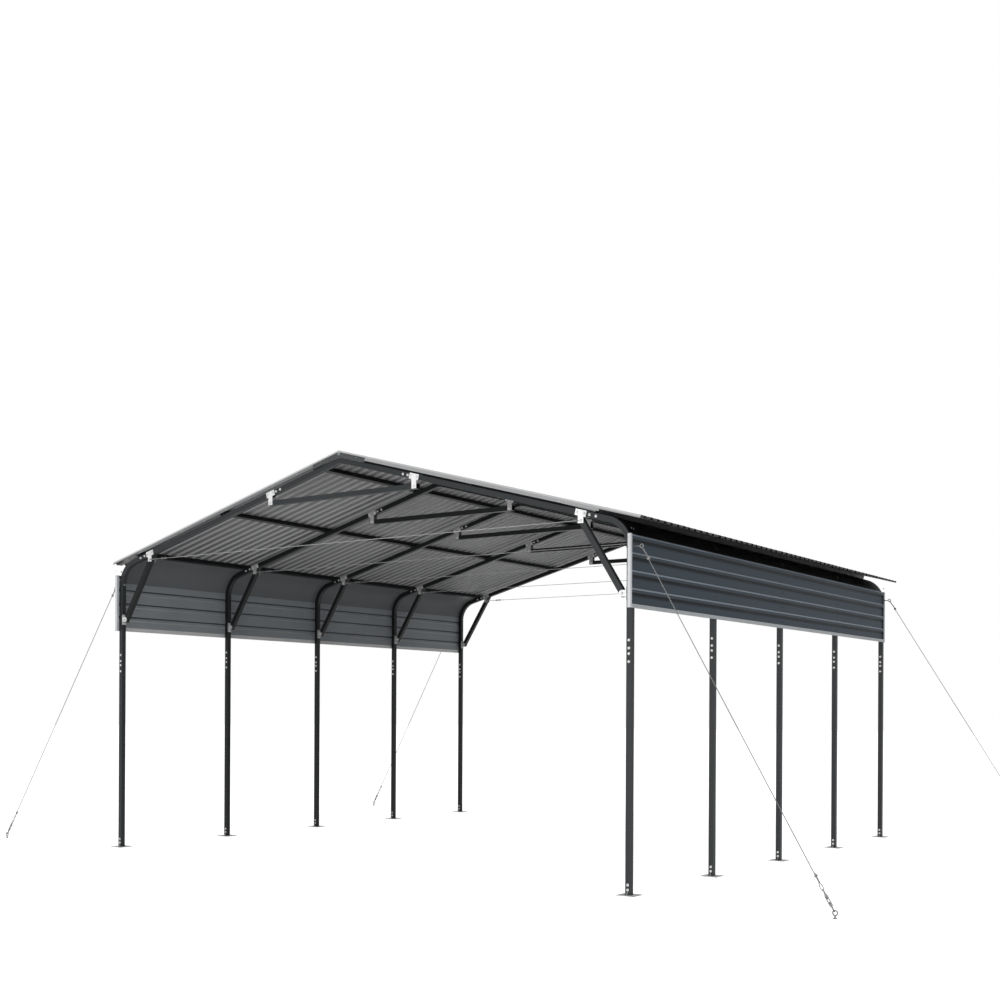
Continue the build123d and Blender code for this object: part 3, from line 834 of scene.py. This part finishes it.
def turned(angle, axis):
    return Matrix.Rotation(angle, 4, axis)


def twin(piece):
    """Copy of a piece with its own mesh."""
    other = piece.copy()
    other.data = piece.data.copy()
    bpy.context.scene.collection.objects.link(other)
    return other


def scatter(master, name, places, finish, stands_for=()):
    """One piece from copies of a master, each with its own mesh, one at each place."""
    deselect()
    made = [twin(master) for place in places]
    for piece, place in zip(made, places):
        piece.data.transform(place)
        piece.select_set(True)
    bpy.context.view_layer.objects.active = made[0]
    if len(made) > 1:
        bpy.ops.object.join()
    piece = bpy.context.object
    piece.name = name
    piece.data.name = name
    piece.data.materials.clear()
    piece.data.materials.append(finishes[finish])
    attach(piece, "root")
    if stands_for:
        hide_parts(*stands_for)
    deselect()
    return piece


def discard(*masters):
    for master in masters:
        bpy.data.objects.remove(master)


def both_ends(points, offset, heads, nuts):
    """Add a place for a bolt head in front of each point and for its nut behind it."""
    for point in points:
        heads.append(facing(point + Vector((0, -offset, 0)), (0, -1, 0)))
        nuts.append(facing(point + Vector((0, offset, 0)), (0, 1, 0)))


def tube_bolts():
    """Bolts through the tubes: at the feet and at the joints of the posts and the rafters."""
    heads = []
    nuts = []
    for n, y in enumerate(frame_places):
        joint = front_post_joint if n == 0 else post_joint
        heights = [joint + step for step in splice_steps] + list(foot_bolt_heights)
        for side in sides:
            post_points = [Vector((side * half_span, y, z)) for z in heights]
            rafter_points = [Vector((side * x, y, axis_z(x))) for x in rafter_bolt_places]
            both_ends(post_points + rafter_points, half_tube, heads, nuts)
    head = bolt_head("tube_bolt_head", *tube_bolt)
    nut = bolt_nut("tube_bolt_nut", *tube_nut)
    scatter(head, "tube_bolt_heads", heads, "zinc_bolt")
    scatter(nut, "tube_bolt_nuts", nuts, "zinc_bolt")
    discard(head, nut)


def bracket_bolts():
    """Bolts of the tee brackets and the knee feet; each cross cable's loop is under a knee bolt."""
    heads = []
    nuts = []
    face = half_tube + bracket_thickness
    for y in frame_places:
        for side in sides:
            for x in (knee_head_x, tie_bracket_x):
                for step in (-bracket_bolt_step, bracket_bolt_step):
                    point = slope_point(side, y, x / math.cos(pitch) + step)
                    both_ends([point], face, heads, nuts)
            both_ends([Vector((side * tie_bracket_x, y, tie_height))], face, heads, nuts)
            knee = Vector((side * knee_head_x, y, knee_head_z))
            heads.append(facing(knee + Vector((0, -face - loop_thickness, 0)), (0, -1, 0)))
            nuts.append(facing(knee + Vector((0, face, 0)), (0, 1, 0)))
            ear = Vector((side * knee_foot_x, y, knee_foot_z))
            both_ends([ear], face + fit_gap, heads, nuts)
            for step in (-foot_bolt_step, foot_bolt_step):
                place = Vector((side * (half_span - face), y, knee_foot_z + step))
                heads.append(facing(place, (-side, 0, 0)))
    head = bolt_head("bracket_bolt_head", *bracket_bolt)
    nut = bolt_nut("bracket_bolt_nut", *bracket_nut)
    scatter(head, "bracket_bolt_heads", heads, "zinc_bolt")
    scatter(nut, "bracket_bolt_nuts", nuts, "zinc_bolt")
    discard(head, nut)


def roof_screws():
    """Screws with sealing washers on every second rib over each purlin, and along the cap."""
    ribs = [roof_front + first_rib + n * rib_pitch for n in range(1, rib_count, 2)]
    seats = [(along, lap_top - screw_sink) for along in purlin_places]
    seats.append((cap_screw_place, lap_top + sheet_thickness - screw_sink))
    places = []
    for side in sides:
        outward = (side * math.sin(pitch), 0, math.cos(pitch))
        for y in ribs:
            places += [facing(slope_point(side, y, *seat), outward) for seat in seats]
    screw = bolt_head("roof_screw", *roof_screw)
    scatter(screw, "roof_screws", places, "screw_paint")
    discard(screw)


def panel_screws():
    """Screws through the flats of the side panels into each post, except where an eye bolt is."""
    places = []
    for side in sides:
        for y in frame_places:
            for z in panel_screw_heights:
                if abs(z - eye_height) > screw_clearance:
                    places.append(facing(Vector((side * panel_face, y, z)), (side, 0, 0)))
    screw = bolt_head("panel_screw", *panel_screw)
    scatter(screw, "panel_screws", places, "screw_paint")
    discard(screw)


def trim_rivets():
    """Domed rivets along the gable trims, the end trims and the bottom trims."""
    low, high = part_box("right_panel_trim")
    ends = (low.y + end_rivet_inset, high.y - end_rivet_inset)
    spots = [(y, z) for z in panel_screw_heights for y in ends]
    step = (last_frame - first_frame) / bottom_rivet_count
    for n in range(bottom_rivet_count):
        spots.append((first_frame + (n + 0.5) * step, low.z + bottom_rivet_rise))
    places = []
    for side in sides:
        for n in range(gable_rivet_count):
            along = gable_first_rivet + n * gable_rivet_pitch
            point = slope_point(side, trim_face - fit_gap, along, lap_top - gable_rivet_drop)
            places.append(facing(point, (0, -1, 0)))
        places += [facing(Vector((side * high.x, y, z)), (side, 0, 0)) for y, z in spots]
    deselect()
    bpy.ops.mesh.primitive_uv_sphere_add(
        segments=12, ring_count=6, radius=rivet_radius, location=(0, 0, 0))
    squeeze(lambda co: True, (1, 1, 0.45))
    rivet = finish_mesh("rivet")
    scatter(rivet, "trim_rivets", places, "rivet_zinc")
    discard(rivet)


def eye_bolt_piece(outer_nut):
    """Eye bolt with its ring at the origin, its shank down -Z and a nut on each side."""
    inner = -(eye_reach + half_tube)
    across, height, disc = eye_nut
    shank = bar(eye_shank, inner - eye_shank_end, -eye_ring_radius + ring_overlap)
    winding = thread(eye_shank * 1.04, inner - eye_thread_start, outer_nut + eye_thread_out)
    ring = hoop(eye_ring_radius, eye_wire, "X")
    outside = [washer(disc, outer_nut, eye_washer), hexagon(across, outer_nut + eye_washer, height)]
    piece = joined([shank, winding, ring] + outside, "eye_bolt")
    inside = bolt_head("eye_nut", *eye_nut)
    inside.data.transform(lifted(inner) @ turned(math.pi, "X"))
    return joined([piece, inside], "eye_bolt")


def eye_bolts():
    """Eye bolts through the corner posts: the back ones also clamp the trim."""
    front = eye_bolt_piece(panel_face - eye_x)
    back = eye_bolt_piece(panel_trim_outer - eye_x)
    rows = ((front, first_frame, "front_eye_bolts"), (back, last_frame, "back_eye_bolts"))
    for master, y, name in rows:
        places = []
        for side in sides:
            centre = Vector((side * eye_x, y, eye_height))
            places.append(framed(centre, (0, -1, 0), (0, 0, -side), (side, 0, 0)))
        scatter(master, name, places, "zinc_fitting", ("eye_bolts",))
    discard(front, back)


def ground_anchors():
    """Welded ring on a stem and a domed collar."""
    ring_foot = anchor_height - anchor_ring_radius
    ring = hoop(anchor_ring_radius, anchor_wire, "Y", anchor_height)
    stem = bar(anchor_wire * 1.1, 0.0, ring_foot + ring_overlap, 14)
    collar = bar(collar_radius, 0.0, collar_height, 20, 0.2)
    weld = hoop(anchor_wire * 1.2, ring_weld, "Y", ring_foot - ring_weld_drop)
    weld.data.transform(turned(math.pi / 2, "X"))
    master = joined([ring, stem, collar, weld], "ground_anchor")
    places = [Matrix.Translation((side * anchor_x, end * anchor_y, 0))
              for side in sides for end in sides]
    scatter(
        master, "ground_anchor_rings", places, "zinc_fitting", ("ground_anchors",))
    discard(master)


def turnbuckle_body(length, width, wire, hub):
    """Open body: a long loop of round bar with a threaded boss at each end."""
    loop = hoop((width - 2 * wire) / 2, wire, "Y")
    spread = (length - width) / 2
    slide(lambda co: co.z > 0.00001, (0, 0, spread))
    slide(lambda co: co.z < -0.00001, (0, 0, -spread))
    end = length / 2
    boss = 2.4 * hub
    return [loop, bar(hub, end - boss, end), bar(hub, -end, boss - end)]


def drop(radius, wire, stretch, around):
    """Ring drawn out to a drop, with its round end low and its point up Z."""
    loop = hoop(radius, wire, around)
    shoulder = stretch * 0.45
    slide(lambda co: co.z > 0.001, (0, 0, shoulder))
    upper = shoulder + radius * 0.35
    squeeze(lambda co: co.z > upper, (0.4, 1, 1) if around == "Y" else (1, 0.4, 1))
    slide(lambda co: co.z > upper, (0, 0, stretch * 0.4))
    return loop


def rope_end(around, name):
    """Loop round its thimble and dead end of a stay, up Z from the centre of the thimble."""
    loop = drop(thimble_radius, rope_radius, loop_stretch, around)
    inner = thimble_radius - rope_radius * 0.9
    lining = drop(inner, rope_radius * 0.62, loop_stretch * 0.8, around)
    tail = rope(strand_radius, loop_stretch * 0.8, dead_end)
    tail.location.x = 2 * rope_radius
    return joined([loop, lining, tail], name)


def rope_clamp():
    """U-bolt, saddle and two nuts round a doubled rope."""
    saddle = block(clamp_saddle, (rope_radius, 0, 0))
    bevel_faces(lambda centre, normal: True, clamp_edge, 2)
    legs = hoop(clamp_leg_radius, clamp_leg_wire, "X")
    legs.data.transform(turned(math.pi / 2, "Y"))
    legs.location = (rope_radius, -clamp_leg_shift, 0)
    nuts = []
    for side in sides:
        across, height = clamp_nut
        nut = hexagon(across, 0.0, height)
        nut.data.transform(turned(-math.pi / 2, "X"))
        nut.location = (rope_radius + side * clamp_leg_radius, clamp_nut_shift, 0)
        nuts.append(nut)
    return joined([saddle, legs] + nuts, "low_clamp")


def stay_buckle(high_eye, low_eye):
    """Turnbuckle between two eyes, each on a threaded rod with a lock nut."""
    shape = turnbuckle_body(buckle_body, buckle_width, buckle_bar, buckle_hub)
    body = joined(shape, "stay_body")
    body.data.transform(lifted((low_eye + high_eye) / 2))
    parts = [body]
    across, height = buckle_lock
    for eye, way in ((high_eye, 1), (low_eye, -1)):
        root = eye + way * buckle_eye
        ends = sorted((root, eye + way * (buckle_neck + buckle_body * 0.4)))
        neck = sorted((root, root + way * buckle_neck_length))
        lock = eye + way * (buckle_neck - height)
        parts += [hoop(buckle_eye, buckle_eye_wire, "X", eye), thread(buckle_rod, *ends),
                  bar(buckle_neck_radius, *neck, 12), hexagon(across, lock - height / 2, height)]
    return joined(parts, "stay_turnbuckle")


def guys():
    """Four stays: rope with a thimbled loop at each end, clamps, and a turnbuckle at the anchor."""
    top = Vector((eye_x, first_frame, eye_height))
    foot = Vector((anchor_x, -anchor_y, anchor_height))
    reach = (foot - top).length
    upper = eye_ring_radius + thimble_radius - eye_wire - rope_radius - link_gap
    low_eye = reach - (
        anchor_ring_radius + buckle_eye - anchor_wire - buckle_eye_wire - link_gap)
    high_eye = low_eye - buckle_body - 2 * buckle_neck
    lower = high_eye - (buckle_eye + thimble_radius - buckle_eye_wire - rope_radius - link_gap)
    first = rope_end("X", "upper_rope_end")
    last = rope_end("Y", "lower_rope_end")
    first.data.transform(lifted(upper))
    last.data.transform(lifted(lower) @ turned(math.pi, "X"))
    main = rope(strand_radius, upper + loop_stretch * 0.85, lower - loop_stretch * 0.85)
    line = joined([main, first, last], "stay_rope")
    low_clamp = rope_clamp()
    high_clamp = twin(low_clamp)
    high_clamp.data.transform(lifted(upper + clamp_place))
    low_clamp.data.transform(lifted(lower - clamp_place) @ turned(math.pi, "X"))
    clamps = joined([low_clamp, high_clamp], "stay_clamps")
    buckle = stay_buckle(high_eye, low_eye)
    places = []
    for side in sides:
        for end in sides:
            start = Vector((side * eye_x, end * last_frame, eye_height))
            finish = Vector((side * anchor_x, end * anchor_y, anchor_height))
            run = (finish - start).normalized()
            across = run.cross(Vector((0, 1, 0))).normalized()
            places.append(framed(start, across, run.cross(across), run))
    scatter(line, "stay_ropes", places, "wire_rope", ("guy_wires",))
    scatter(clamps, "stay_rope_clamps", places, "zinc_fitting")
    scatter(
        buckle, "stay_turnbuckles", places, "zinc_fitting", ("guy_turnbuckles",))
    discard(line, clamps, buckle)


def cross_cables():
    """Five cables from knee to knee: looped and pressed ends, a turnbuckle near the left end."""
    reach = 2 * knee_head_x
    first_stud = tie_buckle_place
    body_start = first_stud + tie_stud
    body_end = body_start + tie_body
    last_stud = body_end + tie_stud
    loops = [hoop(tie_loop, tie_wire, "Y", place) for place in (0.0, reach)]
    starts = (sleeve_place, first_stud - sleeve_length, last_stud - sleeve_overlap,
              reach - sleeve_place - sleeve_length)
    ends = (sleeve_place + sleeve_length, first_stud + sleeve_overlap, last_stud + sleeve_length,
            reach - sleeve_place)
    pressed = [bar(sleeve_radius, low, high, 12, 0.25) for low, high in zip(starts, ends)]
    ropes = [rope(cross_strand_radius, tie_loop_end, first_stud),
             rope(cross_strand_radius, last_stud, reach - tie_loop_end)]
    line = joined(loops + ropes, "cross_cable")
    sleeves = joined(pressed, "cross_cable_sleeves")
    shape = turnbuckle_body(tie_body, tie_buckle_width, tie_buckle_bar, tie_buckle_hub)
    body = joined(shape, "cross_body")
    body.data.transform(lifted((body_start + body_end) / 2))
    inside = tie_body * 0.36
    across, height = tie_lock
    studs = [thread(tie_stud_radius, first_stud, body_start + inside),
             thread(tie_stud_radius, body_end - inside, last_stud)]
    locks = [hexagon(across, place, height)
             for place in (body_start - tie_lock_gap - height, body_end + tie_lock_gap)]
    buckle = joined([body] + studs + locks, "cross_turnbuckle")
    front = half_tube + bracket_thickness + fit_gap + tie_wire
    places = []
    for y in frame_places:
        place = Vector((-knee_head_x, y - front, knee_head_z))
        places.append(framed(place, (0, 0, -1), (0, 1, 0), (1, 0, 0)))
    scatter(line, "cross_cable_ropes", places, "cross_rope", ("tie_cables",))
    scatter(sleeves, "cross_cable_sleeves", places, "zinc_fitting")
    scatter(
        buckle, "cross_turnbuckles", places, "zinc_fitting", ("tie_turnbuckles",))
    discard(line, sleeves, buckle)


def foot_welds():
    """Bead of weld round each post where it meets its plate."""
    deselect()
    bpy.ops.mesh.primitive_torus_add(
        major_radius=(half_tube + weld_reach) * math.sqrt(2), minor_radius=weld_radius,
        major_segments=4, minor_segments=8, rotation=(0, 0, math.pi / 4), location=(0, 0, 0))
    bpy.ops.object.transform_apply(location=False, rotation=True, scale=False)
    pick(lambda co: True)
    bpy.ops.mesh.subdivide(number_cuts=11)
    bpy.ops.mesh.select_all(action="SELECT")
    bpy.ops.transform.vertex_random(offset=weld_ripple, seed=3)
    bpy.ops.object.mode_set(mode="OBJECT")
    bead = finish_mesh("foot_weld", 60)
    places = [Matrix.Translation((side * half_span, y, plate_thickness + weld_rise))
              for side in sides for y in frame_places]
    scatter(bead, "foot_welds", places, "frame_paint")
    discard(bead)


def bottom_lips():
    """Folded-in lips of the bottom trims, between the posts on the inner face of the panels."""
    low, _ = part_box("right_panel_trim")
    block((trim_thickness, bay - tube - 2 * lip_end_gap, lip_height))
    pick(lambda centre, normal: normal.z > 0.9, "FACE")
    bpy.ops.mesh.extrude_region_move(TRANSFORM_OT_translate={"value": (-lip_fold, 0, lip_fold)})
    bpy.ops.object.mode_set(mode="OBJECT")
    lip = finish_mesh("bottom_lip")
    x = half_span + half_tube - trim_thickness / 2 - lip_gap
    z = low.z + lip_height / 2 + lip_rise
    places = []
    for side in sides:
        turn = Matrix.Identity(4) if side > 0 else turned(math.pi, "Z")
        for y in frame_places[:-1]:
            places.append(Matrix.Translation((side * x, y + bay / 2, z)) @ turn)
    scatter(lip, "bottom_trim_lips", places, "lip_paint")
    discard(lip)


def ridge_cover():
    """Dark folded plate over the gable trims at the ridge."""
    rise = lap_top - gable_trim_height + cover_height / 2 + cover_rise
    y = trim_face - cover_gap - trim_thickness / 2
    halves = []
    for side in sides:
        half = block((cover_reach, trim_thickness, cover_height))
        bevel_faces(lambda centre, normal: abs(normal.y) > 0.9, cover_edge)
        centre = slope_point(side, y, cover_reach / 2, rise)
        half.data.transform(Matrix.Translation(centre) @ turned(side * pitch, "Y"))
        halves.append(half)
    plate = joined(halves, "ridge_cover_shape")
    scatter(plate, "ridge_cover", [Matrix.Identity(4)], "plate_paint")
    discard(plate)


def ray_mask(tree, *kinds):
    """Mask of the rays of some kinds."""
    path = tree.add("ShaderNodeLightPath")
    seen = path.outputs[kinds[0]]
    for kind in kinds[1:]:
        seen = tree.math("MAXIMUM", seen, path.outputs[kind])
    return seen


def studio():
    """White floor and backdrop, a wide soft sky, a large soft lamp in front and one above."""
    deselect()
    bpy.ops.mesh.primitive_plane_add(size=floor_size, location=(0, 0, -floor_drop))
    floor = bpy.context.object
    floor.name = "floor"
    material, tree, shader = new_material("floor")
    shader.inputs["Base Color"].default_value = grey(floor_level)
    shader.inputs["Roughness"].default_value = 0.9
    shader.inputs["Specular IOR Level"].default_value = 0.1
    seen = ray_mask(tree, "Is Camera Ray", "Is Glossy Ray", "Is Transmission Ray")
    shader.inputs["Emission Color"].default_value = (1, 1, 1, 1)
    tree.feed(shader.inputs["Emission Strength"], tree.math("MULTIPLY", seen, floor_glow))
    floor.data.materials.append(material)
    world = bpy.data.worlds.new("sky")
    bpy.context.scene.world = world
    world.use_nodes = True
    world.node_tree.nodes.clear()
    tree = Tree(world.node_tree)
    seen = ray_mask(tree, "Is Camera Ray", "Is Transmission Ray")
    back = tree.add(
        "ShaderNodeBackground", Color=(1, 1, 1, 1), Strength=tree.blend(seen, sky_light, 1.0))
    out = tree.add("ShaderNodeOutputWorld")
    tree.feed(out.inputs["Surface"], back.outputs[0])
    lamp("key", place=(-1.0, -17.0, 2.2), target=(0.0, 0.0, 2.6), size=4.0, power=900.0)
    lamp("top", place=(5.0, -2.0, 13.0), target=(0.0, 0.0, 1.5), size=12.0, power=700.0)


def lamp(name, place, target, size, power):
    deselect()
    bpy.ops.object.light_add(type="AREA", location=place)
    light = bpy.context.object
    light.name = name
    light.data.shape = "DISK"
    light.data.size = size
    light.data.energy = power
    light.visible_camera = False
    direction = Vector(target) - Vector(place)
    light.rotation_euler = direction.to_track_quat("-Z", "Y").to_euler()


def photo_camera():
    forward = Vector((-math.sin(camera_yaw), math.cos(camera_yaw), 0))
    right = Vector((math.cos(camera_yaw), math.sin(camera_yaw), 0))
    up = Vector((0, 0, 1))
    across = right * math.cos(camera_roll) + up * math.sin(camera_roll)
    above = up * math.cos(camera_roll) - right * math.sin(camera_roll)
    data = bpy.data.cameras.new("camera")
    camera = bpy.data.objects.new("camera", data)
    bpy.context.scene.collection.objects.link(camera)
    data.lens = camera_lens
    data.shift_y = camera_rise
    data.clip_end = camera_reach
    camera.matrix_world = framed(camera_place, across, above, -forward)
    bpy.context.scene.camera = camera


dress_frame()
tube_bolts()
bracket_bolts()
roof_screws()
panel_screws()
trim_rivets()
foot_welds()
bottom_lips()
ridge_cover()
eye_bolts()
ground_anchors()
guys()
cross_cables()
studio()
photo_camera()
bpy.context.scene.view_settings.view_transform = "Standard"
